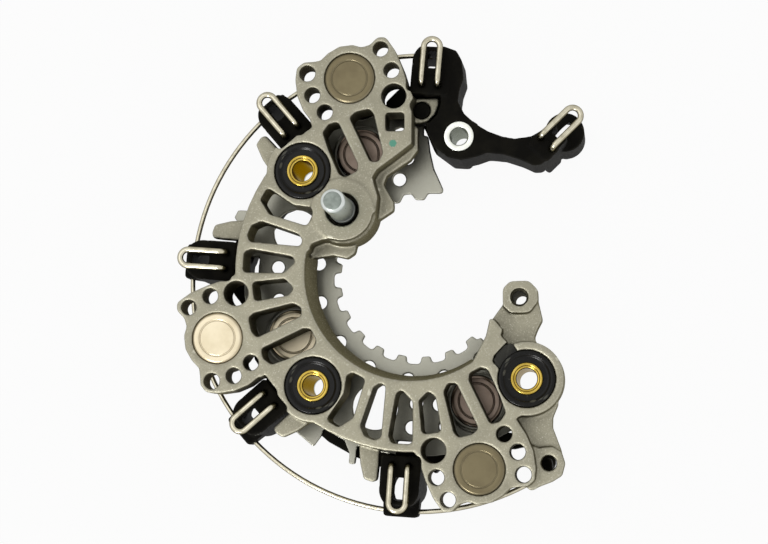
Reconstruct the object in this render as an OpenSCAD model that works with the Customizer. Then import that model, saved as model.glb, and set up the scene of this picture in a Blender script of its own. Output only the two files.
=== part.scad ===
// Rectifier of a car alternator with hairpin windings: three phases, six press-fit diodes.
// The origin is the shaft axis, at the level of the back rims that the part rests on.
// +Z is the front, towards the rear cover of the alternator; +X and +Y lie in the plate.

/* [Stack] */
// Height of the carrier rails above the back rims of the wire funnels
rail_lift = 1.0; // [0.6:0.1:1.6]
// Thickness of the carrier rails
rail_t = 6.2; // [5.4:0.1:7]
// Thickness of the toothed negative plate
plate_t = 1.5; // [1:0.1:2]
// Air gap between the plate and the die-cast heat sink
fin_gap = 6.8; // [6.2:0.1:9]
// Depth of the heat sink from front face to underside
rib_h = 10.5; // [9.5:0.1:12]

/* [Pattern] */
// Angle from one phase to the next
phase_pitch = 90.5; // [89.5:0.1:91]
// Angle of the first positive diode
phase_start = 107.7; // [107.2:0.1:108.2]
// Distance of the positive diodes from the shaft axis
outer_pitch_r = 51.6; // [51.2:0.1:52.2]
// Distance of the negative diodes from the shaft axis
inner_pitch_r = 35; // [34.6:0.1:35.4]
// Angle of a negative diode past its positive one
inner_turn = 6.6; // [6:0.1:7.4]
// Radius of the opening in the heat sink
sink_in_r = 27; // [26.4:0.1:27.4]
// Radius of the heat sink's rim between the lobes
sink_out_r = 44.7; // [44:0.1:45.2]

/* [Diodes] */
// Diameter of a diode can
can_d = 12.77; // [12.4:0.01:12.9]
// Height of a diode can
can_h = 6.6; // [6:0.1:7.2]
// Wall of a diode can
can_wall = 0.8; // [0.6:0.05:1]
// Side of a silicon chip
chip_w = 5.2; // [4.6:0.1:5.8]
// Thickness of a silicon chip
chip_t = 0.4; // [0.3:0.05:0.6]
// Diameter of a diode lead
lead_d = 1.25; // [1:0.05:1.3]
// Diameter of the round head of a lead
lead_head_d = 4; // [3.4:0.1:4.6]
// How far the negative cans reach behind the plate
neg_back = 1.2; // [0.8:0.1:1.6]
// Height of the drawn collars round the negative cans
collar_h = 2.6; // [2:0.1:3.2]

/* [Negative plate] */
// Radius over the roots of the teeth
root_r = 22; // [21.6:0.1:22.4]
// Height of a tooth
tooth_h = 1.8; // [1.2:0.1:2.2]
// Number of teeth in a full turn
tooth_n = 21; // [18:1:24]
// Outer radius of the plate
plate_out_r = 45.6; // [45:0.1:46]
// Diameter of the small air holes
air_hole_d = 3.4; // [3:0.1:3.8]
// Diameter of the large air holes
big_hole_d = 11.66; // [11:0.1:12]

/* [Bushes and washers] */
// Bore of the brass bushes
bush_bore_d = 5.1; // [4.8:0.1:5.4]
// Outside diameter of the bush tube
bush_tube_d = 6.4; // [6:0.1:6.8]
// Diameter of the bush flange
bush_flange_d = 8; // [7.6:0.1:8.4]
// Thickness of the bush flange
bush_flange_t = 1; // [0.8:0.1:1.2]
// Outside diameter of the insulators
insulator_d = 14.3; // [13.8:0.1:14.6]
// Depth of the insulator pockets
pocket_h = 4; // [3.4:0.1:4.6]
// Outside diameter of the insulator sleeves
sleeve_d = 9.2; // [8.8:0.1:9.6]
// Diameter of the spacers between heat sink and plate
spacer_d = 11; // [10:0.1:11.4]
// Diameter of the steel washers
washer_d = 10.5; // [10:0.1:10.8]
// Hole of the steel washers
washer_hole_d = 5.2; // [5.1:0.1:5.6]
// Thickness of the steel washers
washer_t = 1.5; // [1.2:0.1:1.8]

/* [Output stud] */
// Diameter of the output stud
stud_d = 6; // [5.8:0.1:6.2]
// Diameter of its shank, pressed into the boss
shank_d = 6.6; // [6.4:0.1:6.8]
// Length of the stud in front of its boss
stud_out = 16.5; // [14:0.5:20]
// Diameter of the stud's round head
stud_head_d = 12.4; // [11.6:0.1:13]
// Thickness of the stud's round head
stud_head_t = 3.2; // [2.6:0.1:3.6]
// Radius of the boss face
boss_r = 7.8; // [7.4:0.1:8.2]

/* [Wires] */
// Diameter of the wire of the terminal hooks
hook_wire_d = 1.5; // [1.3:0.1:1.6]
// Distance between the two legs of a hook
hook_gap = 4.1; // [3.8:0.1:4.4]
// Height of the hooks above the front face of the towers
hook_rise = 2.5; // [2:0.1:3.5]
// How far a hook reaches from the shaft axis
hook_reach = 60; // [59:0.1:61]
// Diameter of the jumper wire round the outside
ring_wire_d = 1.2; // [1:0.1:1.3]
// Bend radius of the jumper wire
ring_wire_r = 58.5; // [58.2:0.1:58.8]
// Diameter of the wire of the phase links
link_wire_d = 1.2; // [1:0.1:1.3]

/* [Carrier] */
// Height of the wire towers from rim to front face
tower_h = 21.5; // [20:0.5:22.5]
// Distance of the towers from the shaft axis
tower_r = 54; // [53.6:0.1:54.4]
// Outer radius of a tower
tower_tube_r = 5; // [4.8:0.1:5.2]
// Radius of a funnel mouth
funnel_r = 4.1; // [3.8:0.1:4.3]
// How far the long arm lies below the front faces of the towers
arm_drop = 0.5; // [0:0.1:1.5]
// Length of a joint cap
cap_l = 7.2; // [6.8:0.1:7.6]

/* [Hidden] */
$fn = 48;

// Running clearance between pieces that are pushed together
fit = 0.03;
eps = 0.01;

// Levels of the stack, from the back rims at zero to the front face
z_plate = rail_lift + rail_t;
z_plate_front = z_plate + plate_t;
z_sink = z_plate_front + fin_gap;
z_face = z_sink + rib_h;
z_pocket = z_face - pocket_h;

// Casting levels
lobe_t = 8.5;
z_lobe = z_face - lobe_t;
z_seat = z_face - 12.4;
z_ledge = z_face - 6;
z_rib = z_sink + 0.6;
z_wall = z_sink - 0.4;
z_low = z_sink + 1.4;
z_web = z_face - 4;
wall_draft = 1.7;
boss_lift = 0.4;
boss_sink = 3.5;
z_boss = z_face + boss_lift;
boss_wall_r = boss_r + 0.7;
rim_t = 2;
shank_hole_r = shank_d / 2 + fit;
post_r = 4.1;
post_front = z_face - 2.3;
post_back = z_plate - 1.8;
post_hole_r = 1.7;
ear_hole_r = 1.95;
side_hole_r = 2.25;
tube_wall = 1.5;

// Places of single features, in the plane of the plate
stud_at = [-17.5, 15.8];
post_at = [26.5, -6.4];
insert_at = [11.45, 34.6];
ear_at = [1.85, 41.8];
ejector_at = [24.3, -52.3];
bush_at = [[37.8, 136.9], [37.5, 228.6], [38.9, 316.7]];
tower_turn = -22.7;
tower_pitch = phase_pitch / 2;
tower_angles = [for (i = [0:4]) phase_start + tower_turn + i * tower_pitch];
arm_tower = [52.5, 44];

// Diode parts
can_r = can_d / 2;
lead_end = rail_lift + 0.2;
lead_head_t = 0.8;
neg_rim = z_plate - neg_back;
neg_face = neg_rim + can_h;
link_z = rail_lift + 0.9;
link_gap = lead_d + link_wire_d + 2 * fit;
link_over = [3.6, 4.3];

// Direction and length of a phase link, from the outer diode to the inner one
link_dx = inner_pitch_r * cos(inner_turn) - outer_pitch_r;
link_dy = inner_pitch_r * sin(inner_turn);
link_l = sqrt(link_dx * link_dx + link_dy * link_dy);
link_turn = atan2(link_dy, link_dx);
cap_w = 7.4;
cap_mid = 8.6;
cap_shift = -1.2;
cap_h = rail_lift + 2.4;

// Teeth
tooth_step = 360 / tooth_n;
notch_r = 41.9;
notch_w = 5.2;
tab_gap = 2.3;
tab_out_r = 46.8;
tooth_first = 172.1;
tooth_count = 9;

// Hooks and towers
hook_z = tower_h + hook_rise;
hook_bend = 1.6;
hook_foot = tower_r - 6;
arm_hook_foot = arm_tower[0] - 6;
hook_seat_z = tower_h - 12;
tower_flat = 3.9;
arm_top = tower_h - arm_drop;
arm_tower_h = 13;
block_w = [5, 5, 5, 5, 5, 3.4];
block_x = [-8.4, -8.4, -8.4, -8.4, -8.4, -9.4];
block_end = [-0.5, -0.5, -0.5, -0.5, -0.5, -4.5];
slot_start = [-1.6, -1.6, -1.6, -1.6, -3, -3];
collar_out = [5, 5.2, 6, 6.6, 6.9];
funnel_flat = 2.8;
funnel_deep = 9;
collar_z = [8.5, 14];
ring_wire_z = 11.25;
ring_wire_at = [0, -1];
ring_wire_span = [83.6, 303];

// Small low ear of the casting beside the first tower
side_ear = [[-2, 38.8], [1, 38.5], [3.4, 39], [5.2, 40.6], [6.2, 43.2], [6.2, 44.95],
    [-2, 44.95]];

// Outline of a casting lobe, as radius and angle from its diode
lobe_outline = [[43, -19], [46.5, -16.8], [51.5, -15.2], [56.3, -13.4], [59.9, -11.4],
    [60.1, -9.4], [58.6, -7.4], [58.4, -5.2], [59.6, -3.2], [60.2, 0], [59.6, 3.2],
    [58.6, 5.6], [59.2, 7.4], [60.1, 9.4], [59.7, 11.6], [57.2, 13.4], [53.5, 15.2],
    [49, 16.2], [43, 16.5]];
lobe_holes = [[44.6, -11.9, 3.1], [51.2, -12, 1.95], [57, -9.8, 1.9],
    [46.2, 10.7, 1.95], [51.6, 11.5, 1.95], [57.1, 9.9, 2]];

// Outlines of the cooling slots of one phase, as radius and angle from the diode
slots = [
    [[42.5, -49], [42.6, -44.2], [39, -40.8], [29, -42.4], [29, -49.3], [30.3, -51.2],
        [34.5, -48.1]],
    [[41.8, -29.4], [42.7, -31.5], [42.3, -35], [40.2, -37.4], [30.2, -37.2],
        [28.8, -35], [28.9, -31.8]],
    [[42.7, -18.7], [42.7, -25.6], [41, -26.9], [30.6, -26.2], [29.3, -24],
        [32.2, -18.5]],
    [[40.3, -8.3], [40.3, -15.2], [32, -15.7], [29.9, -11], [31.5, -8.1]],
    [[42.2, 4.2], [42.9, 1.5], [42.6, -3.2], [41, -4.2], [30.8, -4], [29.1, -1],
        [29.8, 2.9]],
    [[42.4, 8.3], [43, 11.5], [42, 14.7], [37.5, 16.4], [30.8, 18.8], [29.3, 17],
        [29, 10.5], [30.5, 8.8]]];

function pol(r, a) = [r * cos(a), r * sin(a)];
function arc(r, a0, a1, n) = [for (i = [0:n]) pol(r, a0 + (a1 - a0) * i / n)];
function polar(list) = [for (p = list) pol(p[0], p[1])];
function unit(v) = v / norm(v);

// Rounds each corner of an outline with radius r in n steps, less where a side is short
function rounded(pts, r, n = 3) = let (k = len(pts)) [for (i = [0:k - 1])
    let (p = pts[i], a = pts[(i + k - 1) % k] - p, b = pts[(i + 1) % k] - p,
        ua = unit(a), ub = unit(b), half = acos(max(-1, min(1, ua * ub))) / 2,
        cut = min(r / tan(half), 0.48 * norm(a), 0.48 * norm(b)), rr = cut * tan(half),
        mid = p + unit(ua + ub) * rr / sin(half), s = p + ua * cut - mid,
        e = p + ub * cut - mid, turn = atan2(s[0] * e[1] - s[1] * e[0], s * e))
    for (j = [0:n]) let (t = turn * j / n)
        mid + [s[0] * cos(t) - s[1] * sin(t), s[0] * sin(t) + s[1] * cos(t)]];

function phase(i) = phase_start + (i - 1) * phase_pitch;
function positive_at(i) = pol(outer_pitch_r, phase(i));
function negative_at(i) = pol(inner_pitch_r, phase(i) + inner_turn);

// Key of the third insulator, grown by k about its bush
function key_outline(k) = let (c = polar(bush_at)[2]) rounded([for (p = [[20.1, -22.6],
    [20.4, -21.2], [23.4, -18], [24.7, -17.9], [26.5, -20.6], [22.6, -25.2]]) c + (p - c) * k], 0.5);

module at(p, z = 0) { translate([p[0], p[1], z]) children(); }
module slab(pts, z0, z1) { translate([0, 0, z0]) linear_extrude(z1 - z0) polygon(pts); }
module hole(p, r, z0, z1) { at(p, z0) cylinder(r = r, h = z1 - z0); }
module phase_frame(i) { rotate(phase(i)) children(); }

// Frame along a phase link: origin at the positive diode, +X towards the negative one
module link_frame(i) { phase_frame(i) translate([outer_pitch_r, 0]) rotate(link_turn) children(); }

module tower_frame(i) {
    rotate(i == 6 ? arm_tower[1] : tower_angles[i - 1])
        translate([i == 6 ? arm_tower[0] : tower_r, 0]) children();
}

// Die-cast heat sink

module sink_ring() {
    in_a = [169, 305];
    end_top = [[-26.2, 5.1], [-25.3, 7.3], [-22.5, 8.3], [-15.5, 8.6], [-13.1, 11.6],
        [-9, 15.2], [-8.6, 19.2], [-10, 23.9], [-8.8, 25.8], [-3.7, 29.5], [0, 32.3],
        [0, 43.5], [-1.5, 47.5]];
    ring = concat(arc(sink_out_r, 97, 312, 43), [[34.6, -30], [22, -16]],
        arc(sink_in_r, in_a[1], in_a[0], 30), rounded(end_top, 0.8));
    slab(ring, z_rib, z_face);
}

// Drafted inner wall: its foot stands further in than its front edge
module sink_wall() {
    rotate(170) rotate_extrude(angle = 134, $fn = 96)
        polygon([[sink_in_r - wall_draft, z_wall], [sink_in_r + 1, z_wall],
            [sink_in_r + 1, z_face - 0.6], [sink_in_r + 0.4, z_face - 0.6]]);
}

module sink_lobe(i) {
    slab(rounded(polar([for (p = lobe_outline) [p[0], p[1] + phase(i)]]), 1.4), z_lobe, z_face);
    hole(positive_at(i), can_r + 1.9, z_seat, z_face - 1);
    if (i > 1) phase_frame(i)
        hole(pol(lobe_holes[0][0], lobe_holes[0][1]), lobe_holes[0][2] + tube_wall, z_seat, z_face - 1);
}

module sink_lug(i) {
    hole(polar(bush_at)[i - 1], insulator_d / 2 + rim_t, z_sink, z_face);
}

// Low ledges beside the towers, between one lobe and the next
module sink_ledge(t, side) {
    pts = [[-11, 5.6], [-2, 5.6], [-1.4, 7], [-2, 9.2], [-6, 10.4], [-11, 11]];
    rotate(tower_angles[t - 1]) translate([tower_r, 0])
        slab(rounded([for (p = side > 0 ? pts : [for (k = [len(pts) - 1:-1:0]) pts[k]])
            [p[0], side * p[1]]], 0.8), z_low, z_ledge);
}

module stud_boss() {
    corner = [rounded([[-17.5, 8.1], [-15.6, 8.3], [-13.2, 11.4], [-9.1, 15.2],
        [-10.4, 18.6], [-17.5, 15.8]], 0.5)][0];
    foot = rounded([[-26.2, 4.2], [-20.5, 4.9], [-17, 4.1], [-15.1, 5.4], [-14.2, 8.9],
        [-11, 12.4], [-5.2, 16.2], [-5.2, 18.4], [-7.8, 22.8], [-7, 25], [-1, 28.9],
        [1, 31.6], [1.1, 37.6], [-5, 37.6], [-14, 27], [-26, 12]], 1);
    hole(stud_at, boss_r, z_face - 1, z_boss);
    slab(corner, z_face - 1, z_boss);
    hole(stud_at, boss_wall_r, z_seat, z_face - 1);
    slab(foot, z_rib + 0.2, z_ledge);
}

module sink_post() {
    web = rounded([[20.9, -10], [22.4, -8], [22.8, -4.6], [26.5, -2.6], [30.4, -4.4],
        [31.2, -8], [32.1, -11.9], [30.8, -14.3], [30, -16.4], [31.8, -20], [24, -22],
        [19.5, -17.5], [18.9, -14.8], [19.5, -12]], 1);
    side = rounded([[19.3, -11.6], [20.4, -12.1], [22.5, -14.6], [21.6, -16.8], [23.6, -18.4],
        [25, -22], [20, -25], [14.2, -24], [16.7, -19.2], [18.3, -16.1], [18.8, -14]], 0.6);
    head = rounded([[22.4, -8.6], [22.4, -4.2], [24.2, -2.4], [28.9, -2.3], [31.1, -4.6],
        [31.2, -7.4], [29, -10.3], [24.2, -10.3]], 1.6);
    slab(web, z_sink + 0.3, z_web);
    slab(side, z_rib, z_face);
    slab(head, z_web - 3, post_front);
    hole(post_at, post_r, post_back, post_front - 0.5);
}

module sink_end() {
    low = rounded([[27, -43], [37.4, -48.4], [36.4, -44], [34.4, -38.6], [34.5, -36],
        [36.2, -32], [28, -30], [22, -40]], 1);
    side = rounded([[24, -49], [29, -54.3], [30.8, -53.2], [34.2, -51.9], [36.6, -50.4],
        [37.4, -47.4], [36.5, -44.6], [34.2, -43.2], [31, -43.6], [27, -42]], 1);
    slab(low, z_low, z_web);
    slab(side, z_low + 0.5, z_web + 1);
    slab(rounded(side_ear, 0.6), z_lobe, z_face - 7);
}

module positive_heat_sink() {
    color("darkgray") difference() {
        union() {
            sink_ring();
            sink_wall();
            for (i = [1:3]) { sink_lobe(i); sink_lug(i); }
            for (t = [2, 4]) sink_ledge(t, 1);
            for (t = [3, 5]) sink_ledge(t, -1);
            stud_boss();
            sink_post();
            sink_end();
        }
        // room for the wire towers
        for (t = [1:5]) rotate(tower_angles[t - 1]) translate([tower_r, 0])
            slab(rounded([[-8.6, -5.4], [6, -6.2], [12, -6.2], [12, 6.2], [6, 6.2],
                [-8.6, 5.4]], 1), z_seat - 1, z_boss + 1);
        for (i = [1:3]) {
            phase_frame(i) for (s = [i == 1 ? 4 : 0:5])
                slab(rounded(polar(slots[s]), 0.9), z_seat - 1, z_boss + 1);
            hole(positive_at(i), can_r + fit, z_seat - 1, z_boss + 1);
            hole(positive_at(i), can_r + 0.55, z_seat - 1, z_face - can_h - 0.4);
            phase_frame(i) for (h = lobe_holes)
                hole(pol(h[0], h[1]), h[2], z_seat - 1, z_boss + 1);
            hole(polar(bush_at)[i - 1], insulator_d / 2 + fit, z_pocket, z_boss + 1);
            hole(polar(bush_at)[i - 1], sleeve_d / 2 + fit, z_sink - 1, z_boss + 1);
        }
        slab(rounded([[-6.6, 35.5], [-1.9, 35.5], [-1.9, 40.1], [-6.6, 40.1]], 0.6),
            z_sink - 1, z_boss + 1);
        hole(stud_at, stud_d / 2 + 1.2, z_boss - boss_sink, z_boss + 1);
        hole(stud_at, shank_hole_r, z_seat - 1, z_boss + 1);
        hole(post_at, post_hole_r, post_back - 1, post_front + 1);
        hole(post_at, post_hole_r + 0.5, post_front - 1.5, post_front + 1);
        hole([33.4, -47.3], ear_hole_r, z_sink - 1, z_face + 1);
        hole(ear_at, side_hole_r, z_sink - 1, z_face + 1);
        // mark of an ejector pin
        hole(ejector_at, 1.56, z_face - 0.15, z_boss + 1);
        slab(key_outline(1.02), z_pocket, z_boss + 1);
    }
}

// Stamped negative plate with a toothed inner edge

module plate_tooth(a) {
    w = [11.5, 8, 6.2];
    slab(rounded([pol(root_r + 1, a - w[0] / 2), pol(root_r, a - w[0] / 2),
        pol(root_r - 0.3, a - w[1] / 2), pol(root_r - tooth_h, a - w[2] / 2),
        pol(root_r - tooth_h, a + w[2] / 2), pol(root_r - 0.3, a + w[1] / 2),
        pol(root_r, a + w[0] / 2), pol(root_r + 1, a + w[0] / 2)], 0.4), z_plate, z_plate_front);
}

// Small tabs on the rim of the plate
plate_tabs = [
    [[-43, 12.6], [-46.8, 14.4], [-48.3, 16.5], [-47.3, 18.4], [-45.2, 18.3], [-41.5, 17.5]],
    [[-30, -33], [-33, -38.3], [-29.1, -41.5], [-27.3, -43.1], [-25.2, -40.3], [-24, -37]],
    [[-19.8, -40], [-17.9, -44.8], [-18.2, -47.5], [-16.4, -47.5], [-15.9, -43.4], [-15.5, -41]]];

module negative_plate() {
    near_stud = [[-20.8, 6.9], [-18.4, 7.3], [-17.8, 8.7], [-18.7, 9.8], [-18.6, 11.4],
        [-17.3, 12.5], [-16.3, 12], [-9.5, 17.4], [-10, 19], [-9.6, 20.3], [-8, 20.6],
        [-6.5, 19.6], [-5, 19.6], [-3.9, 21.8], [-1.9, 21.9], [-0.9, 20.4], [1.4, 20.3],
        [2.4, 22], [6, 21.9], [6.4, 22.9], [5.5, 25], [4, 28.4], [3, 33], [2.4, 38.2]];
    color("silver") difference() {
        union() {
            slab(concat(arc(plate_out_r, 88, 309, 60), [[28.5, -24], [18, -17.5]],
                arc(root_r, 316, 164, 46), rounded(near_stud, 0.7)), z_plate, z_plate_front);
            for (k = [0:tooth_count - 1]) plate_tooth(tooth_first + k * tooth_step);
            for (t = plate_tabs) slab(rounded(t, 0.5), z_plate, z_plate_front);
            for (i = [1:3]) {
                hole(negative_at(i), can_r + 1.1, z_plate, z_plate_front + collar_h);
                hole(polar(bush_at)[i - 1], insulator_d / 2, z_plate, z_plate_front);
            }
        }
        for (i = [1:3]) {
            hole(negative_at(i), can_r + fit, z_plate - 1, z_plate_front + 9);
            hole(polar(bush_at)[i - 1], bush_tube_d / 2 + fit, z_plate - 1, z_plate_front + 1);
            // clearance for the leads of the positive diodes
            at(positive_at(i), z_plate - 1) cylinder(r = can_r + 1.3, h = plate_t + 2);
            // notches for the locating tabs of the carrier
            if (i > 1) rotate(tower_angles[2 * i - 2]) translate([notch_r, -notch_w / 2, z_plate - 1])
                cube([12, notch_w, plate_t + 2]);
        }
        // air holes: a row inside the diodes and groups beside the locating tabs
        for (h = [[26.2, 101], [26.1, 125.4], [26.3, 146.8], [26.2, 171], [26.2, 193.3],
            [26.2, 218.5], [26.2, 240.4], [26.2, 263.7], [26.2, 284.2], [26.2, 307.4],
            [31.4, 95.3], [38, 97.2], [30.9, 176.1], [30.9, 187.7], [36.8, 174.9],
            [36.8, 188.2], [32.8, 279.1], [32.1, 268.8], [38.6, 280.2], [38.3, 267.2],
            [20.7, 131.7]])
            hole(pol(h[0], h[1]), air_hole_d / 2, z_plate - 1, z_plate_front + 1);
        for (h = [[34.3, 158.8], [34.8, 251.1]])
            hole(pol(h[0], h[1]), big_hole_d / 2, z_plate - 1, z_plate_front + 1);
    }
}

// Moulded terminal carrier

// Outer and inner edges of the rail of one phase, as radius and angle from its diode
rail_outer = [[47.2, -27], [50.2, -17.2], [48.4, -13.7], [46.8, -10.6], [46.5, -6.3],
    [46.7, 1], [47.6, 7], [47.3, 14.5], [50, 18]];
rail_inner = [[50, 27.5], [48.4, 31], [46.9, 40], [42, 45.2], [38, 36], [38.5, 22],
    [39.8, 14], [40, 10.6], [40.2, -1], [40.4, -7.7], [41.6, -13.6], [44, -21]];
rail_last = [[48, 24], [46, 29], [43.4, 32.6], [38.6, 33.6], [37.5, 28], [38.5, 22], [39.8, 14],
    [40, 10.6], [40.2, -1], [40.4, -7.7], [41.6, -13.6], [44, -21]];
rail_cross = [[47.4, 38], [48, 42.5], [48.6, 52], [49.4, 60.8], [50, 67], [44, 67],
    [43, 59.4], [41.4, 53.5], [39.9, 45.2], [36, 38], [44, 28]];

module rail(i) {
    a = phase(i);
    slab(rounded(polar([for (p = concat(rail_outer, i < 3 ? rail_inner : rail_last)) [p[0], p[1] + a]]),
        1.2), rail_lift, z_plate);
    if (i < 3) slab(rounded(polar([for (p = rail_cross) [p[0], p[1] + a]]), 1.2),
        rail_lift, z_plate);
    // collar round the washer
    hole(polar(bush_at)[i - 1], washer_d / 2 + 1.7, rail_lift + 1.5, z_plate);
}

module tower(i) {
    r = tower_tube_r;
    w = block_w[i - 1];
    tower_frame(i) {
        intersection() {
            cylinder(r = r, h = i == 6 ? arm_tower_h : tower_h);
            translate([-r, -r, 0]) cube([r + (i == 6 ? r : tower_flat), 2 * r, tower_h]);
        }
        slab(rounded([[block_x[i - 1], -w], [block_end[i - 1], -w], [block_end[i - 1], w],
            [block_x[i - 1], w]], 0.8), rail_lift, tower_h);
        if (i < 6) slab(rounded([[-3, -5], [collar_out[i - 1] - 0.3, -4.4], [collar_out[i - 1], -3.6],
            [collar_out[i - 1], 3.6], [collar_out[i - 1] - 0.3, 4.4], [-3, 5]], 0.5), collar_z[0], collar_z[1]);
    }
}

module tower_cuts(i) {
    flat = i == 6 ? tower_tube_r : funnel_flat;
    top = (i == 6 ? arm_tower_h : tower_h) - funnel_deep - (i == 6 ? 1 : 2.4);
    tower_frame(i) {
        intersection() {
            union() {
                translate([0, 0, -eps]) cylinder(r = funnel_r, h = funnel_deep);
                translate([0, 0, funnel_deep - 2 * eps]) cylinder(r1 = funnel_r, r2 = 1.5, h = top);
            }
            translate([-6, -6, -1]) cube([6 + flat, 12, tower_h]);
        }
        translate([slot_start[i - 1], -1.2, funnel_deep])
            cube([funnel_flat - slot_start[i - 1], 2.4, tower_h]);
        for (s = [-1, 1]) hole([i == 6 ? arm_hook_foot - arm_tower[0] : hook_foot - tower_r,
            s * hook_gap / 2], hook_wire_d / 2 + fit, hook_seat_z, tower_h + 1);
    }
}

module arm() {
    beam = rounded([[2.7, 44], [2.9, 40], [3.4, 35.6], [5, 32.4], [8.8, 29.3], [12, 28.6],
        [15.6, 29.3], [18.5, 30.3], [22.8, 29.8], [27.1, 28.3], [30, 26.9], [32, 27], [35, 29.6],
        [39, 33.6], [34.8, 38.2], [32, 35.6], [29.6, 34.3], [25.4, 33.8], [22.4, 34.4],
        [18.8, 35.8], [15.6, 37.8], [12.8, 40.4], [11.2, 43.6], [11.6, 46.4], [12.7, 49.4],
        [12.2, 54.2], [10.9, 56.6], [7.7, 57.8], [3, 57.4]], 1.1);
    difference() {
        slab(beam, z_plate, arm_top);
        // hollow under the small ear of the heat sink
        slab([[-3, 37.9], [1.2, 37.9], [4, 38.4], [5.9, 40.2], [6.9, 43], [6.9, 45.2], [-3, 45.2]],
            z_lobe - 0.3, arm_top + 1);
    }
    slab(rounded([[-1.4, 43], [1.5, 39], [4, 33], [9, 29.2], [13, 29], [16, 33], [15.4, 40],
        [10.6, 43], [9.6, 47], [5, 51], [-1, 50]], 1.2), rail_lift + 1, z_plate);
    // pad behind the large hole of the first lobe, and the peg in the small ear
    slab(rounded([[3.4, 39.5], [3.4, 49], [-1, 49], [-4.5, 47.9], [-7.9, 44.6], [-6.4, 41.3],
        [-2, 40.9], [-0.7, 39.3]], 1), z_plate_front + 0.4, z_rib - 0.4);
    hole(ear_at, side_hole_r - 0.15, z_plate_front + 0.4, z_lobe + 1);
}

module carrier_end() {
    slab(rounded([[21, -31], [23, -44], [26.4, -43.2], [28.4, -44], [29.6, -48],
        [30.4, -51], [32, -51.2], [33.6, -49.8], [34.6, -47.4], [34.2, -43.8],
        [33, -41.2], [32.2, -38], [32.8, -31], [29, -26]], 1), rail_lift, z_plate);
    slab(rounded([[4, -50], [4.4, -49.4], [7, -47.6], [12.6, -45.8], [24, -43.6],
        [22, -36.2], [20.6, -39.2], [10.3, -41.2], [3, -43.6], [0, -46]], 1),
        rail_lift, z_plate);
    // block that holds the end of the jumper wire
    slab(rounded([[28.3, -46.6], [29.2, -51.6], [32, -52.2], [34.2, -49.6], [33.8, -46]], 0.8),
        rail_lift, collar_z[1]);
}

module terminal_carrier() {
    color([0.1, 0.1, 0.09]) difference() {
        union() {
            for (i = [1:3]) rail(i);
            for (t = [1:6]) tower(t);
            arm();
            carrier_end();
            // locating tabs in the notches of the plate
            for (t = [3, 5]) rotate(tower_angles[t - 1])
                translate([notch_r + tab_gap, -notch_w / 2 + fit, rail_lift])
                cube([tab_out_r - notch_r - tab_gap, notch_w - 2 * fit, rail_t + plate_t]);
        }
        for (t = [1:6]) tower_cuts(t);
        for (i = [1:3]) {
            hole(polar(bush_at)[i - 1], washer_d / 2 + fit, -1, z_plate + eps);
            hole(negative_at(i), can_r + 0.25, -1, z_plate + 9);
            link_frame(i) translate([cap_mid - cap_l / 2 - fit, cap_shift - cap_w / 2 - fit, -1])
                cube([cap_l + 2 * fit, cap_w + 2 * fit, cap_h + 1]);
            link_frame(i) translate([-8, -link_gap / 2 - 1.2, -1])
                cube([link_l + 13, link_gap + 2.4, cap_h + 1]);
            hole(positive_at(i), 3, -1, z_plate + 1);
        }
        hole(insert_at, 3.75 + fit, -1, arm_top + 1);
        ring_wire_path(ring_wire_d / 2 + fit, 1);
        slab([[21.6, -39.4], [26.2, -39.8], [25.8, -35.2], [21.8, -35]], -1, z_plate + 1);
    }
}

module ring_wire_path(r, more) {
    at(ring_wire_at, ring_wire_z) rotate(ring_wire_span[0])
        rotate_extrude(angle = ring_wire_span[1] - ring_wire_span[0] + more * 0.02, $fn = 96)
            translate([ring_wire_r, 0]) circle(r = r, $fn = 20);
}

module ring_wire() { color("lightgray") ring_wire_path(ring_wire_d / 2, 0); }

// Wire hooks: two legs in a tower, bent outwards and closed by a round end
module hook(i) {
    foot = (i == 6 ? arm_hook_foot - arm_tower[0] : hook_foot - tower_r);
    reach = (i == 6 ? hook_reach - 1.5 - arm_tower[0] : hook_reach - tower_r) - hook_gap / 2
        - hook_wire_d / 2;
    r = hook_wire_d / 2;
    color("gainsboro") tower_frame(i) {
        for (s = [-1, 1]) translate([0, s * hook_gap / 2, 0]) {
            translate([foot, 0, hook_seat_z]) cylinder(r = r, h = hook_z - hook_bend - hook_seat_z);
            translate([foot + hook_bend, 0, hook_z - hook_bend]) rotate([90, 0, 0]) rotate(90)
                rotate_extrude(angle = 90) translate([hook_bend, 0]) circle(r = r, $fn = 24);
            translate([foot + hook_bend, 0, hook_z]) rotate([0, 90, 0])
                cylinder(r = r, h = reach - foot - hook_bend);
        }
        translate([reach, 0, hook_z]) rotate(-90) rotate_extrude(angle = 180)
            translate([hook_gap / 2, 0]) circle(r = r, $fn = 24);
    }
}

// Press-fit diodes

module can() {
    r = can_r;
    color([0.62, 0.58, 0.48]) rotate_extrude() polygon([[0, 0], [4.2, 0], [4.3, 0.15],
        [4.6, 0.15], [4.7, 0], [r - 0.6, 0], [r, 0.5], [r, can_h], [r - can_wall, can_h],
        [r - can_wall, 1.4], [0, 1.4]]);
}

module chip() { color([0.35, 0.36, 0.4]) translate([-chip_w / 2, -chip_w / 2, 1.4]) cube([chip_w, chip_w, chip_t]); }

module lead(length) {
    color("peru") rotate_extrude() polygon([[0, 1.4 + chip_t], [lead_head_d / 2, 1.4 + chip_t],
        [lead_head_d / 2, 1.4 + chip_t + lead_head_t / 2], [lead_d / 2, 1.4 + chip_t + lead_head_t],
        [lead_d / 2, length - 0.3], [lead_d / 2 - 0.25, length], [0, length]]);
}

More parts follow.
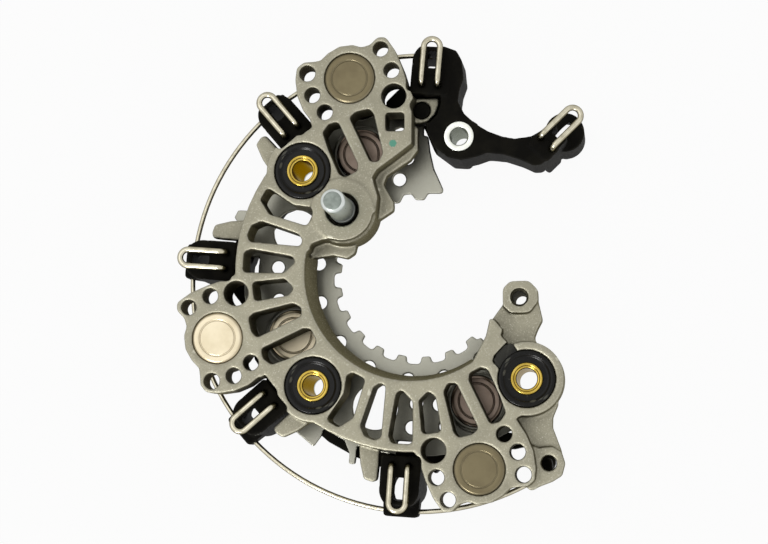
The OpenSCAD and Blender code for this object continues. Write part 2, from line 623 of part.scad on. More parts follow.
module seal() {
    color([0.12, 0.11, 0.1]) difference() {
        translate([0, 0, 1.4]) cylinder(r = can_r - can_wall, h = can_h - 2.2);
        translate([-chip_w / 2, -chip_w / 2, 1]) cube([chip_w, chip_w, 0.4 + chip_t]);
        translate([0, 0, 1.4 + chip_t]) cylinder(r = lead_head_d / 2, h = lead_head_t / 2);
        translate([0, 0, 1.4 + chip_t + lead_head_t / 2])
            cylinder(r1 = lead_head_d / 2, r2 = lead_d / 2, h = lead_head_t / 2);
        cylinder(r = lead_d / 2, h = can_h);
    }
}

module positive_place(i) { at(positive_at(i), z_face) mirror([0, 0, 1]) children(); }
module negative_place(i) { at(negative_at(i), neg_face) mirror([0, 0, 1]) children(); }

// Bushes, insulators, spacers and washers

module bush(i) {
    top = z_face + 0.3;
    color("gold") at(polar(bush_at)[i - 1]) rotate_extrude() polygon([
        [bush_bore_d / 2, z_plate], [bush_tube_d / 2, z_plate],
        [bush_tube_d / 2, top - bush_flange_t], [bush_flange_d / 2, top - bush_flange_t],
        [bush_flange_d / 2, top - 0.3], [bush_flange_d / 2 - 0.3, top],
        [bush_bore_d / 2 + 0.7, top], [bush_bore_d / 2, top - 0.7]]);
}

module insulator(i) {
    low = z_face + 0.3 - bush_flange_t;
    color([0.13, 0.13, 0.12]) at(polar(bush_at)[i - 1]) rotate_extrude() polygon([
        [bush_tube_d / 2 + fit, z_sink], [sleeve_d / 2, z_sink], [sleeve_d / 2, z_pocket],
        [insulator_d / 2, z_pocket], [insulator_d / 2, z_face - 0.6],
        [insulator_d / 2 - 0.4, z_face - 0.2], [insulator_d / 2 - 1, z_face - 0.2],
        [insulator_d / 2 - 1.2, low], [bush_tube_d / 2 + fit, low]]);
    if (i == 3) color([0.13, 0.13, 0.12]) slab(key_outline(1), z_pocket, z_face - 1.2);
}

module spacer(i) {
    color([0.16, 0.16, 0.15]) difference() {
        hole(polar(bush_at)[i - 1], spacer_d / 2, z_plate_front, z_sink);
        hole(polar(bush_at)[i - 1], bush_tube_d / 2 + fit, z_plate_front - 1, z_sink + 1);
    }
}

module washer(i) {
    color("lightsteelblue") difference() {
        hole(polar(bush_at)[i - 1], washer_d / 2, z_plate - washer_t, z_plate);
        hole(polar(bush_at)[i - 1], washer_hole_d / 2, z_plate - washer_t - 1, z_plate + 1);
    }
}

module output_stud() {
    r = stud_d / 2;
    shank = shank_d / 2;
    top = z_boss + stud_out;
    color("lightsteelblue") at(stud_at) rotate_extrude() polygon([
        [0, z_seat - stud_head_t], [stud_head_d / 2 - 0.3, z_seat - stud_head_t],
        [stud_head_d / 2, z_seat - stud_head_t + 0.3], [stud_head_d / 2, z_seat],
        [shank, z_seat], [shank, z_boss - 0.3], [r, z_boss], [r, top - 0.8], [r - 0.8, top],
        [0, top]]);
}

module arm_insert() {
    color("lightsteelblue") difference() {
        hole(insert_at, 3.75, rail_lift + 3, arm_top + 0.3);
        hole(insert_at, 2.2, rail_lift, arm_top + 1);
    }
}

// Phase links: a closed wire loop whose two legs hold both diode leads
module link_loop(r) {
    for (s = [-1, 1]) translate([-link_over[0], s * link_gap / 2, link_z]) rotate([0, 90, 0])
        cylinder(r = r, h = link_l + link_over[0] + link_over[1], $fn = 24);
    translate([-link_over[0], 0, link_z]) rotate(90) rotate_extrude(angle = 180)
        translate([link_gap / 2, 0]) circle(r = r, $fn = 24);
    translate([link_l + link_over[1], 0, link_z]) rotate(-90) rotate_extrude(angle = 180)
        translate([link_gap / 2, 0]) circle(r = r, $fn = 24);
}

module phase_link(i) { color("peru") link_frame(i) link_loop(link_wire_d / 2); }

module joint_cap(i) {
    color([0.14, 0.14, 0.13]) link_frame(i) difference() {
        translate([cap_mid - cap_l / 2, cap_shift - cap_w / 2, 0]) cube([cap_l, cap_w, cap_h]);
        for (s = [-1, 1]) translate([0, s * link_gap / 2, link_z]) rotate([0, 90, 0])
            cylinder(r = link_wire_d / 2 + fit, h = link_l, $fn = 24);
    }
}

positive_heat_sink();
negative_plate();
terminal_carrier();
positive_place(1) can();  // positive_diode_can_1
positive_place(2) can();  // positive_diode_can_2
positive_place(3) can();  // positive_diode_can_3
negative_place(1) can();  // negative_diode_can_1
negative_place(2) can();  // negative_diode_can_2
negative_place(3) can();  // negative_diode_can_3
positive_place(1) chip();  // positive_chip_1
positive_place(2) chip();  // positive_chip_2
positive_place(3) chip();  // positive_chip_3
negative_place(1) chip();  // negative_chip_1
negative_place(2) chip();  // negative_chip_2
negative_place(3) chip();  // negative_chip_3
positive_place(1) lead(z_face - lead_end);  // positive_lead_1
positive_place(2) lead(z_face - lead_end);  // positive_lead_2
positive_place(3) lead(z_face - lead_end);  // positive_lead_3
negative_place(1) lead(neg_face - lead_end);  // negative_lead_1
negative_place(2) lead(neg_face - lead_end);  // negative_lead_2
negative_place(3) lead(neg_face - lead_end);  // negative_lead_3
positive_place(1) seal();  // positive_seal_1
positive_place(2) seal();  // positive_seal_2
positive_place(3) seal();  // positive_seal_3
negative_place(1) seal();  // negative_seal_1
negative_place(2) seal();  // negative_seal_2
negative_place(3) seal();  // negative_seal_3
bush(1);  // brass_bush_1
bush(2);  // brass_bush_2
bush(3);  // brass_bush_3
insulator(1);  // bush_insulator_1
insulator(2);  // bush_insulator_2
insulator(3);  // bush_insulator_3
spacer(1);  // fin_spacer_1
spacer(2);  // fin_spacer_2
spacer(3);  // fin_spacer_3
washer(1);  // steel_washer_1
washer(2);  // steel_washer_2
washer(3);  // steel_washer_3
output_stud();
arm_insert();
ring_wire();
hook(1);  // terminal_hook_1
hook(2);  // terminal_hook_2
hook(3);  // terminal_hook_3
hook(4);  // terminal_hook_4
hook(5);  // terminal_hook_5
hook(6);  // terminal_hook_6
phase_link(1);  // phase_link_1
phase_link(2);  // phase_link_2
phase_link(3);  // phase_link_3
joint_cap(1);  // joint_cap_1
joint_cap(2);  // joint_cap_2
joint_cap(3);  // joint_cap_3
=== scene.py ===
import math
import bmesh
import bpy
from mathutils import Matrix, Vector


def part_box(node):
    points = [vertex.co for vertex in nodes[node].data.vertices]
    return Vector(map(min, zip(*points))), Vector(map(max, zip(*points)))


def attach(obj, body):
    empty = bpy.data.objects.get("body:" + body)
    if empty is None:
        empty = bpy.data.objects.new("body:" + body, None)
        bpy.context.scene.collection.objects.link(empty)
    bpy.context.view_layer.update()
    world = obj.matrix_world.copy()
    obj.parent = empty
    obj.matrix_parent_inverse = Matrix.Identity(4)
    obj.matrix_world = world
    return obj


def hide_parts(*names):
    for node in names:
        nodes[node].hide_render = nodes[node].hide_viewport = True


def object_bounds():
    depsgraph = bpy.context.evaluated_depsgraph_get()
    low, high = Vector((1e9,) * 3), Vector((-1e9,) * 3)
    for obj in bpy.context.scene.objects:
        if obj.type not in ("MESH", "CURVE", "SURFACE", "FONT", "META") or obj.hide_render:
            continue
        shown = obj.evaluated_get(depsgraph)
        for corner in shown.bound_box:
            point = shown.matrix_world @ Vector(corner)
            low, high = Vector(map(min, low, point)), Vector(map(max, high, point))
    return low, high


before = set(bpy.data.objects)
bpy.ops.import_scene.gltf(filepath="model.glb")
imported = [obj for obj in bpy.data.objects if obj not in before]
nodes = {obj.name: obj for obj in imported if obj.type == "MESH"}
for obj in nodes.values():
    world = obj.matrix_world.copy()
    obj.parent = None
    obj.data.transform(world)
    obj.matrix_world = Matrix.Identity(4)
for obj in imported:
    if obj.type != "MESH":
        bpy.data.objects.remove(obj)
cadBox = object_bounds()
mm = 0.001
print("frame loaded,", len(nodes), "nodes")

# camera: high above the open side of the ring, turned so that the ring fills the frame
viewpoint = {"stand": (52.0, -49.2, 516.0), "aim": (-7.4, 0.4, 22.0), "lens": 93.5}


def placeCamera():
    lensData = bpy.data.cameras.new("benchCamera")
    lensData.lens = viewpoint["lens"]
    lensData.clip_start, lensData.clip_end = 0.01, 20
    camera = bpy.data.objects.new("benchCamera", lensData)
    bpy.context.scene.collection.objects.link(camera)
    stand, aim = Vector(viewpoint["stand"]) * mm, Vector(viewpoint["aim"]) * mm
    forward = (aim - stand).normalized()
    up = (Vector((0, 1, 0)) - forward * forward.y).normalized()
    turn = Matrix((forward.cross(up), up, -forward)).transposed()
    camera.matrix_world = Matrix.Translation(stand) @ turn.to_4x4()
    bpy.context.scene.camera = camera


placeCamera()


def linear(hexColour):
    parts = [int(hexColour[i:i + 2], 16) / 255 for i in (1, 3, 5)]
    return [c / 12.92 if c <= 0.04045 else ((c + 0.055) / 1.055) ** 2.4 for c in parts] + [1]


def addNode(owner, kind, settings={}, links={}):
    node = owner.node_tree.nodes.new("ShaderNode" + kind)
    for key, value in settings.items():
        if isinstance(value, str) and value.startswith("#"):
            value = linear(value)
        if isinstance(key, str) and hasattr(node, key):
            setattr(node, key, value)
        else:
            node.inputs[key].default_value = value
    for key, source in links.items():
        owner.node_tree.links.new(source, node.inputs[key])
    return node


def startMaterial(name, **sockets):
    mat = bpy.data.materials.new(name)
    mat.use_nodes = True
    shader = mat.node_tree.nodes["Principled BSDF"]
    for socket, value in sockets.items():
        if isinstance(value, str):
            value = linear(value)
        shader.inputs[socket.replace("_", " ")].default_value = value
    return mat, shader


def join(mat, source, shader, socket):
    mat.node_tree.links.new(source, shader.inputs[socket])


# painted shade: a colour darkened towards the bottoms of gaps narrower than reachMm, where little light reaches
def gapShade(mat, colour, reachMm, darkest):
    shelter = addNode(mat, "AmbientOcclusion", {"Distance": reachMm * mm, "samples": 8})
    amount = addNode(mat, "MapRange", {"From Min": 0.05, "From Max": 0.8, "To Min": darkest}, {"Value": shelter.outputs["AO"]})
    return addNode(mat, "Mix", {"data_type": "RGBA", "blend_type": "MULTIPLY", 0: 1.0}, {6: colour, 7: amount.outputs[0]}).outputs[2]


# ---- finishes ----
# the two wall colours are painted shade for steep and low walls, and the edge colour is a painted highlight; the
# other colours are the casting's own
castFinish = {"face": "#9a9684", "pale": "#d2cfc0", "wall": "#7a7560", "deepShade": "#5a5645", "edge": "#cfccba", "rim": "#a09b86",
              "grit": 0.34, "patch": 9, "dot": "#5a8f7c", "dotPlace": (-4.7, 32.3, 26), "dotR": 0.9}


def dieCastAluminium():
    # shot-blasted die casting: matt warm grey with a fine glitter; its walls are painted darker as shade, darker
    # still lower down, with a painted highlight along its edges and painted shade in its creases and gaps
    f = castFinish
    mat, shader = startMaterial("dieCastAluminium", Metallic=0.85, Roughness=0.5, Specular_Tint=castFinish["rim"])
    place = addNode(mat, "TexCoord").outputs["Object"]
    shape = addNode(mat, "NewGeometry")
    grit = addNode(mat, "TexNoise", {"Scale": 1000 / f["grit"], "Detail": 3, "Roughness": 0.7}, {"Vector": place})
    patch = addNode(mat, "TexNoise", {"Scale": 1000 / f["patch"], "Detail": 4}, {"Vector": place})
    # painted shade: steep walls take the wall colours, and lower walls take the darker one
    normal = addNode(mat, "SeparateXYZ", {}, {0: shape.outputs["Normal"]})
    steep = addNode(mat, "Math", {"operation": "ABSOLUTE"}, {0: normal.outputs["Z"]})
    flat = addNode(mat, "MapRange", {"From Min": 0.25, "From Max": 0.9}, {"Value": steep.outputs[0]})
    height = addNode(mat, "SeparateXYZ", {}, {0: place})
    high = addNode(mat, "MapRange", {"From Min": 0.014, "From Max": 0.024}, {"Value": height.outputs["Z"]})
    wall = addNode(mat, "Mix", {"data_type": "RGBA", 6: f["deepShade"], 7: f["wall"]}, {0: high.outputs[0]})
    skin = addNode(mat, "Mix", {"data_type": "RGBA", 7: f["face"]}, {0: flat.outputs[0], 6: wall.outputs[2]})
    tone = addNode(mat, "MapRange", {"From Min": 0.3, "From Max": 0.7, "To Min": 0.88, "To Max": 1.06},
                   {"Value": patch.outputs["Fac"]})
    shade = addNode(mat, "Mix", {"data_type": "RGBA", "blend_type": "MULTIPLY", 0: 1.0},
                    {6: skin.outputs[2], 7: tone.outputs[0]})
    # painted highlight: the pale edge colour along convex edges
    edgeHighlight = addNode(mat, "MapRange", {"From Min": 0.515, "From Max": 0.58, "To Max": 0.75},
                     {"Value": shape.outputs["Pointiness"]})
    wearAndHighlight = addNode(mat, "Mix", {"data_type": "RGBA", 7: f["edge"]}, {0: edgeHighlight.outputs[0], 6: shade.outputs[2]})
    # painted shade: concave creases darkened to half
    creaseShade = addNode(mat, "MapRange", {"From Min": 0.42, "From Max": 0.485, "To Min": 0.5},
                     {"Value": shape.outputs["Pointiness"]})
    creaseShaded = addNode(mat, "Mix", {"data_type": "RGBA", "blend_type": "MULTIPLY", 0: 1.0},
                    {6: wearAndHighlight.outputs[2], 7: creaseShade.outputs[0]})
    glint = addNode(mat, "MapRange", {"From Min": 0.58, "From Max": 0.72, "To Max": 0.75}, {"Value": grit.outputs["Fac"]})
    glitter = addNode(mat, "Mix", {"data_type": "RGBA", 7: f["pale"]}, {0: glint.outputs[0], 6: creaseShaded.outputs[2]})
    # the inspector's dab of green paint
    away = addNode(mat, "VectorMath", {"operation": "DISTANCE", 1: [v * mm for v in f["dotPlace"]]}, {0: place})
    ragged = addNode(mat, "Math", {"operation": "MULTIPLY_ADD", 1: 0.0008}, {0: grit.outputs["Fac"], 2: away.outputs["Value"]})
    dab = addNode(mat, "MapRange", {"From Min": (f["dotR"] + 0.5) * mm, "From Max": (f["dotR"] + 0.3) * mm},
                  {"Value": ragged.outputs[0]})
    painted = addNode(mat, "Mix", {"data_type": "RGBA", 7: f["dot"]}, {0: dab.outputs[0], 6: glitter.outputs[2]})
    # painted shade in gaps narrower than 9 mm
    join(mat, gapShade(mat, painted.outputs[2], 9, 0.3), shader, "Base Color")
    rough = addNode(mat, "MapRange", {"From Min": 0.35, "From Max": 0.75, "To Min": 0.6, "To Max": 0.36},
                    {"Value": grit.outputs["Fac"]})
    join(mat, rough.outputs[0], shader, "Roughness")
    bump = addNode(mat, "Bump", {"Strength": 0.6, "Distance": 0.00007}, {"Height": grit.outputs["Fac"]})
    join(mat, bump.outputs[0], shader, "Normal")
    return mat


plateFinish = {"face": "#b4b3a7", "dull": "#918f82", "streak": 0.5, "patch": 6}


def stampedAluminium():
    # blanked sheet: brighter and smoother than the casting, with faint clouding from the press; its steep sides are
    # painted darker as shade, and its gaps hold painted shade
    f = plateFinish
    mat, shader = startMaterial("stampedAluminium", Metallic=0.95, Roughness=0.36, Specular_Tint="#b5b3a5")
    place = addNode(mat, "TexCoord").outputs["Object"]
    cloud = addNode(mat, "TexNoise", {"Scale": 1000 / f["patch"], "Detail": 5, "Roughness": 0.6}, {"Vector": place})
    grain = addNode(mat, "TexNoise", {"Scale": 1000 / f["streak"], "Detail": 2}, {"Vector": place})
    normal = addNode(mat, "SeparateXYZ", {}, {0: addNode(mat, "NewGeometry").outputs["Normal"]})
    steep = addNode(mat, "Math", {"operation": "ABSOLUTE"}, {0: normal.outputs["Z"]})
    # painted shade: steep faces darkened down to 0.62 of the colour
    face = addNode(mat, "MapRange", {"From Min": 0.2, "From Max": 0.8, "To Min": 0.62}, {"Value": steep.outputs[0]})
    tint = addNode(mat, "Mix", {"data_type": "RGBA", 6: f["dull"], 7: f["face"]}, {0: cloud.outputs["Fac"]})
    shade = addNode(mat, "Mix", {"data_type": "RGBA", "blend_type": "MULTIPLY", 0: 1.0},
                    {6: tint.outputs[2], 7: face.outputs[0]})
    # painted shade in gaps narrower than 14 mm, such as under the casting
    join(mat, gapShade(mat, shade.outputs[2], 14, 0.2), shader, "Base Color")
    rough = addNode(mat, "MapRange", {"To Min": 0.28, "To Max": 0.46}, {"Value": cloud.outputs["Fac"]})
    join(mat, rough.outputs[0], shader, "Roughness")
    bump = addNode(mat, "Bump", {"Strength": 0.25, "Distance": 0.00003}, {"Height": grain.outputs["Fac"]})
    join(mat, bump.outputs[0], shader, "Normal")
    return mat


nylonFinish = {"base": "#100f0c", "dusty": "#25231c", "edge": "#46443a", "fibre": 0.5, "patch": 5}


def glassFilledNylon():
    # moulded with short glass fibres: near black, dull, with a faint grey bloom and a painted highlight along its
    # edges, broken up by the fibre grain
    f = nylonFinish
    mat, shader = startMaterial("glassFilledNylon", Roughness=0.6, Specular_IOR_Level=0.04)
    place = addNode(mat, "TexCoord").outputs["Object"]
    fibre = addNode(mat, "TexNoise", {"Scale": 1000 / f["fibre"], "Detail": 3, "Roughness": 0.65}, {"Vector": place})
    bloom = addNode(mat, "TexNoise", {"Scale": 1000 / f["patch"], "Detail": 4}, {"Vector": place})
    veil = addNode(mat, "MapRange", {"From Min": 0.42, "From Max": 0.75, "To Max": 0.7}, {"Value": bloom.outputs["Fac"]})
    tint = addNode(mat, "Mix", {"data_type": "RGBA", 6: f["base"], 7: f["dusty"]}, {0: veil.outputs[0]})
    # painted highlight: the pale edge colour along convex edges
    edgeHighlight = addNode(mat, "MapRange", {"From Min": 0.52, "From Max": 0.6},
                     {"Value": addNode(mat, "NewGeometry").outputs["Pointiness"]})
    patchy = addNode(mat, "Math", {"operation": "MULTIPLY"}, {0: edgeHighlight.outputs[0], 1: fibre.outputs["Fac"]})
    wearAndHighlight = addNode(mat, "Mix", {"data_type": "RGBA", 7: f["edge"]}, {0: patchy.outputs[0], 6: tint.outputs[2]})
    join(mat, wearAndHighlight.outputs[2], shader, "Base Color")
    rough = addNode(mat, "MapRange", {"To Min": 0.45, "To Max": 0.8}, {"Value": fibre.outputs["Fac"]})
    join(mat, rough.outputs[0], shader, "Roughness")
    bump = addNode(mat, "Bump", {"Strength": 0.35, "Distance": 0.00005}, {"Height": fibre.outputs["Fac"]})
    join(mat, bump.outputs[0], shader, "Normal")
    return mat


def wroughtMetal(name, clean, stained, side, grainMm, patchMm, low, high, base=1.0, darkest=0.3):
    # one build for the small plated, turned and drawn metals: tint, gloss and grain differ, and each has its own side
    # colour where it turns away from the front face, which is painted shade where it is darker and painted light
    # where it is lighter, and painted shade in its gaps
    mat, shader = startMaterial(name, Metallic=base, Roughness=(low + high) / 2, Specular_Tint=side)
    place = addNode(mat, "TexCoord").outputs["Object"]
    patch = addNode(mat, "TexNoise", {"Scale": 1000 / patchMm, "Detail": 4, "Roughness": 0.6}, {"Vector": place})
    grain = addNode(mat, "TexNoise", {"Scale": 1000 / grainMm, "Detail": 2}, {"Vector": place})
    stain = addNode(mat, "MapRange", {"From Min": 0.42, "From Max": 0.72}, {"Value": patch.outputs["Fac"]})
    tint = addNode(mat, "Mix", {"data_type": "RGBA", 6: clean, 7: stained}, {0: stain.outputs[0]})
    normal = addNode(mat, "SeparateXYZ", {}, {0: addNode(mat, "NewGeometry").outputs["Normal"]})
    # painted light and shade: faces turned away from the front take the side colour
    facing = addNode(mat, "MapRange", {"From Min": 0.35, "From Max": 0.97},
                     {"Value": addNode(mat, "Math", {"operation": "ABSOLUTE"}, {0: normal.outputs["Z"]}).outputs[0]})
    turned = addNode(mat, "Mix", {"data_type": "RGBA", 6: side}, {0: facing.outputs[0], 7: tint.outputs[2]})
    # painted shade in gaps narrower than 4 mm
    join(mat, gapShade(mat, turned.outputs[2], 4, darkest), shader, "Base Color")
    rough = addNode(mat, "MapRange", {"To Min": low, "To Max": high}, {"Value": patch.outputs["Fac"]})
    join(mat, rough.outputs[0], shader, "Roughness")
    bump = addNode(mat, "Bump", {"Strength": 0.2, "Distance": 0.00002}, {"Height": grain.outputs["Fac"]})
    join(mat, bump.outputs[0], shader, "Normal")
    return mat


def mouldedPhenolic(name, base, wearAndHighlight, low, high):
    # pressed thermoset: smooth, black, a soft sheen with faint scuffs, and a painted highlight along its edges
    mat, shader = startMaterial(name, Roughness=(low + high) / 2, Specular_IOR_Level=0.18)
    place = addNode(mat, "TexCoord").outputs["Object"]
    scuff = addNode(mat, "TexNoise", {"Scale": 1000 / 1.6, "Detail": 5, "Roughness": 0.7}, {"Vector": place})
    wear = addNode(mat, "MapRange", {"From Min": 0.5, "From Max": 0.8}, {"Value": scuff.outputs["Fac"]})
    tint = addNode(mat, "Mix", {"data_type": "RGBA", 6: base, 7: wearAndHighlight}, {0: wear.outputs[0]})
    # painted highlight: pale grey along convex edges such as the lip
    edgeHighlight = addNode(mat, "MapRange", {"From Min": 0.52, "From Max": 0.6, "To Max": 0.7},
                     {"Value": addNode(mat, "NewGeometry").outputs["Pointiness"]})
    edged = addNode(mat, "Mix", {"data_type": "RGBA", 7: "#67665b"}, {0: edgeHighlight.outputs[0], 6: tint.outputs[2]})
    join(mat, edged.outputs[2], shader, "Base Color")
    rough = addNode(mat, "MapRange", {"To Min": low, "To Max": high}, {"Value": scuff.outputs["Fac"]})
    join(mat, rough.outputs[0], shader, "Roughness")
    bump = addNode(mat, "Bump", {"Strength": 0.15, "Distance": 0.00003}, {"Height": scuff.outputs["Fac"]})
    join(mat, bump.outputs[0], shader, "Normal")
    return mat


castMetal = dieCastAluminium()
plateMetal = stampedAluminium()
nylon = glassFilledNylon()
# satin nickel on the front cups: warm brown-grey with a soft gloss, its rim darkened by painted shade
nickel = wroughtMetal("satinNickel", "#716850", "#685f49", "#8d8672", 0.25, 5, 0.28, 0.42, darkest=0.6)
# the rear cups took a pinker tone
brownNickel = wroughtMetal("brownNickel", "#83756a", "#75675b", "#6f6355", 0.25, 5, 0.28, 0.42)
# polished nickel on the second pair of cups, its cream brightness a painted reflection of bright light
polishedNickelPaintedReflection = wroughtMetal("polishedNickelPaintedReflection", "#cec3a9", "#c2b69a", "#a08e6c", 0.25, 5, 0.32, 0.44, darkest=0.6)
# free-cutting brass: yellow, with a turned gloss, its chamfers painted darker as shade
brass = wroughtMetal("turnedBrass", "#c2a752", "#a88c35", "#a8923f", 0.2, 3, 0.14, 0.26)
# zinc plate over steel: bluish white
zinc = wroughtMetal("bluishZinc", "#e4e7e3", "#c5cbc8", "#d8dedb", 0.3, 2.5, 0.22, 0.4, base=0.8, darkest=0.5)
# fresh zinc on the insert in the arm
brightZinc = wroughtMetal("brightZinc", "#f6f7ee", "#e2e4da", "#a9ada3", 0.3, 1.5, 0.2, 0.36, base=0.8, darkest=0.6)
# the sawn tip of the stud: duller, where the plating went on a rough cut
cutZinc = wroughtMetal("cutZinc", "#8a918b", "#747b75", "#b9bfbb", 0.2, 1.5, 0.4, 0.6)
# tin over copper wire: pale, slightly yellow, its flanks painted darker as shade
tin = wroughtMetal("tinnedWire", "#cac4af", "#a7a18c", "#8a8471", 0.4, 2, 0.16, 0.3)
# bare copper with a little tin at its ends
copper = wroughtMetal("bareCopper", "#c98e66", "#b3a48e", "#7d4f36", 0.4, 2.2, 0.25, 0.4)
# lapped silicon, hidden in the cups
silicon = wroughtMetal("lappedSilicon", "#6a6c74", "#565860", "#3c3e44", 0.2, 2, 0.2, 0.3)
phenolic = mouldedPhenolic("mouldedPhenolic", "#0b0a08", "#1b1916", 0.2, 0.34)
resin = mouldedPhenolic("pottingResin", "#26231e", "#39342c", 0.5, 0.7)
print("finishes made")


def newPiece(name, mesh, mat, replaced):
    piece = bpy.data.objects.new(name, mesh)
    bpy.context.scene.collection.objects.link(piece)
    mesh.materials.clear()
    mesh.materials.append(mat)
    for face in mesh.polygons:
        face.use_smooth = True
    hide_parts(*replaced)
    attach(piece, "root")
    return piece


def cleanMesh(node, angle=0.6):
    mesh = nodes[node].data.copy()
    work = bmesh.new()
    work.from_mesh(mesh)
    bmesh.ops.remove_doubles(work, verts=work.verts, dist=0.000004)
    bmesh.ops.dissolve_limit(work, angle_limit=math.radians(angle), verts=work.verts, edges=work.edges)
    return mesh, work


# easedCopy: the node's own form with its sharp edges rounded by widthMm
def easedCopy(name, node, mat, widthMm, limit=32, rings=2):
    mesh, work = cleanMesh(node)
    sharp = [e for e in work.edges if e.is_manifold and e.calc_face_angle(0) > math.radians(limit)]
    bmesh.ops.bevel(work, geom=sharp, offset=widthMm * mm, segments=rings, profile=0.5, affect="EDGES",
                    clamp_overlap=False, loop_slide=True)
    work.to_mesh(mesh)
    work.free()
    piece = newPiece(name, mesh, mat, [node])
    even = piece.modifiers.new("evenShading", "WEIGHTED_NORMAL")
    even.keep_sharp = True
    return piece


# easedLine: an outline of (radius, height) corners, each rounded by at most easeMm
def easedLine(corners, easeMm, steps=3):
    line = []
    count = len(corners)
    for k, corner in enumerate(corners):
        here = Vector(corner)
        before, after = Vector(corners[k - 1]) - here, Vector(corners[(k + 1) % count]) - here
        if here.x == 0 or easeMm == 0:
            line.append(here)
            continue
        start = here + before * min(easeMm / before.length, 0.4)
        end = here + after * min(easeMm / after.length, 0.4)
        for step in range(steps + 1):
            t = step / steps
            line.append(start * (1 - t) ** 2 + here * (2 * t * (1 - t)) + end * t ** 2)
    return line


# turned: a piece turned about the axis of a node, from its outline of radii and depths behind the node's
# front face; key adds a moulded block beside it, as its outline and its depths
def turned(name, node, mat, slotName, corners, easeMm, axisNode=None, key=None, segments=72):
    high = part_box(node)[1]
    axisLow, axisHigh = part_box(axisNode or node)
    middle = (axisLow + axisHigh) / 2
    line = easedLine(corners, easeMm)
    work = bmesh.new()
    rows = []
    for point in line:
        z = high.z - point.y * mm
        if point.x == 0:
            rows.append([work.verts.new((middle.x, middle.y, z))])
        else:
            rows.append([work.verts.new((middle.x + point.x * mm * math.cos(2 * math.pi * j / segments),
                                         middle.y + point.x * mm * math.sin(2 * math.pi * j / segments), z))
                         for j in range(segments)])
    for k, row in enumerate(rows):
        other = rows[(k + 1) % len(rows)]
        if len(row) == 1 and len(other) == 1:
            continue
        for j in range(segments):
            n = (j + 1) % segments
            if len(row) == 1:
                work.faces.new((row[0], other[j], other[n]))
            elif len(other) == 1:
                work.faces.new((row[j], other[0], row[n]))
            else:
                work.faces.new((row[j], other[j], other[n], row[n]))
    if key:
        edge = easedLine(key["outline"], 0.5)
        front, back = ([work.verts.new((p.x * mm, p.y * mm, high.z - depth * mm)) for p in edge] for depth in key["depths"])
        lid = work.faces.new(front)
        work.faces.new(back)
        for j in range(len(edge)):
            work.faces.new((front[j - 1], front[j], back[j], back[j - 1]))
        bmesh.ops.bevel(work, geom=list(lid.edges), offset=0.25 * mm, segments=3, profile=0.5, affect="EDGES")
    bmesh.ops.recalc_face_normals(work, faces=work.faces)
    mesh = bpy.data.meshes.new(name)
    work.to_mesh(mesh)
    work.free()
    piece = newPiece(name, mesh, mat, [node])
    even = piece.modifiers.new("evenShading", "WEIGHTED_NORMAL")
    even.keep_sharp = True
    return piece


# castCopy: the node's form skinned again on a fine grid, so that inner and outer corners alike are soft
def castCopy(name, node, mat, gridMm, softening, keep):
    mesh, work = cleanMesh(node)
    work.to_mesh(mesh)
    work.free()
    raw = bpy.data.objects.new(name + "Raw", mesh)
    bpy.context.scene.collection.objects.link(raw)
    skin = raw.modifiers.new("skin", "REMESH")
    skin.mode, skin.voxel_size, skin.use_smooth_shade = "VOXEL", gridMm * mm, True
    soften = raw.modifiers.new("soften", "SMOOTH")
    soften.factor, soften.iterations = 0.5, softening
    thin = raw.modifiers.new("thin", "DECIMATE")
    thin.ratio = keep
    done = bpy.data.meshes.new_from_object(raw.evaluated_get(bpy.context.evaluated_depsgraph_get()))
    bpy.data.objects.remove(raw)
    piece = newPiece(name, done, mat, [node])
    even = piece.modifiers.new("evenShading", "WEIGHTED_NORMAL")
    even.keep_sharp = True
    print(name, len(done.polygons), "faces")
    return piece


casting = {"gridMm": 0.3, "softening": 8, "keep": 0.3}
castCopy("heatSinkCasting", "positive_heat_sink", castMetal, casting["gridMm"], casting["softening"], casting["keep"])
carrier = {"gridMm": 0.3, "softening": 3, "keep": 0.3}
castCopy("carrierMoulding", "terminal_carrier", nylon, carrier["gridMm"], carrier["softening"], carrier["keep"])
plate = {"gridMm": 0.28, "softening": 2, "keep": 0.3}
castCopy("diodePlate", "negative_plate", plateMetal, plate["gridMm"], plate["softening"], plate["keep"])

# press-fit cups: (radius, depth behind the flat end), with the ring pressed into that end
cup = [(0, 0), (4.25, 0), (4.38, 0.16), (4.58, 0.16), (4.7, 0), (5.85, 0), (6.385, 0.42), (6.385, 6.6),
       (5.585, 6.6), (5.585, 1.4), (0, 1.4)]
# bush: flanged brass tube, chamfered mouth
bushTube = [(2.55, 1), (2.7, 0.6), (2.95, 0.5), (3.1, 0.5), (3.25, 0.12), (3.5, 0), (3.75, 0), (4.0, 0.3), (4.0, 1), (3.2, 1),
            (3.2, 19.1), (2.55, 19.1)]
# insulator: collared cup with a raised lip, and its sleeve
insulatorCup = [(3.23, 0.5), (5.2, 0.5), (5.5, 0.4), (5.95, 0.06), (6.2, 0), (6.8, 0), (7.15, 0.4), (7.15, 3.8), (4.6, 3.8), (4.6, 10.3),
                (3.23, 10.3)]
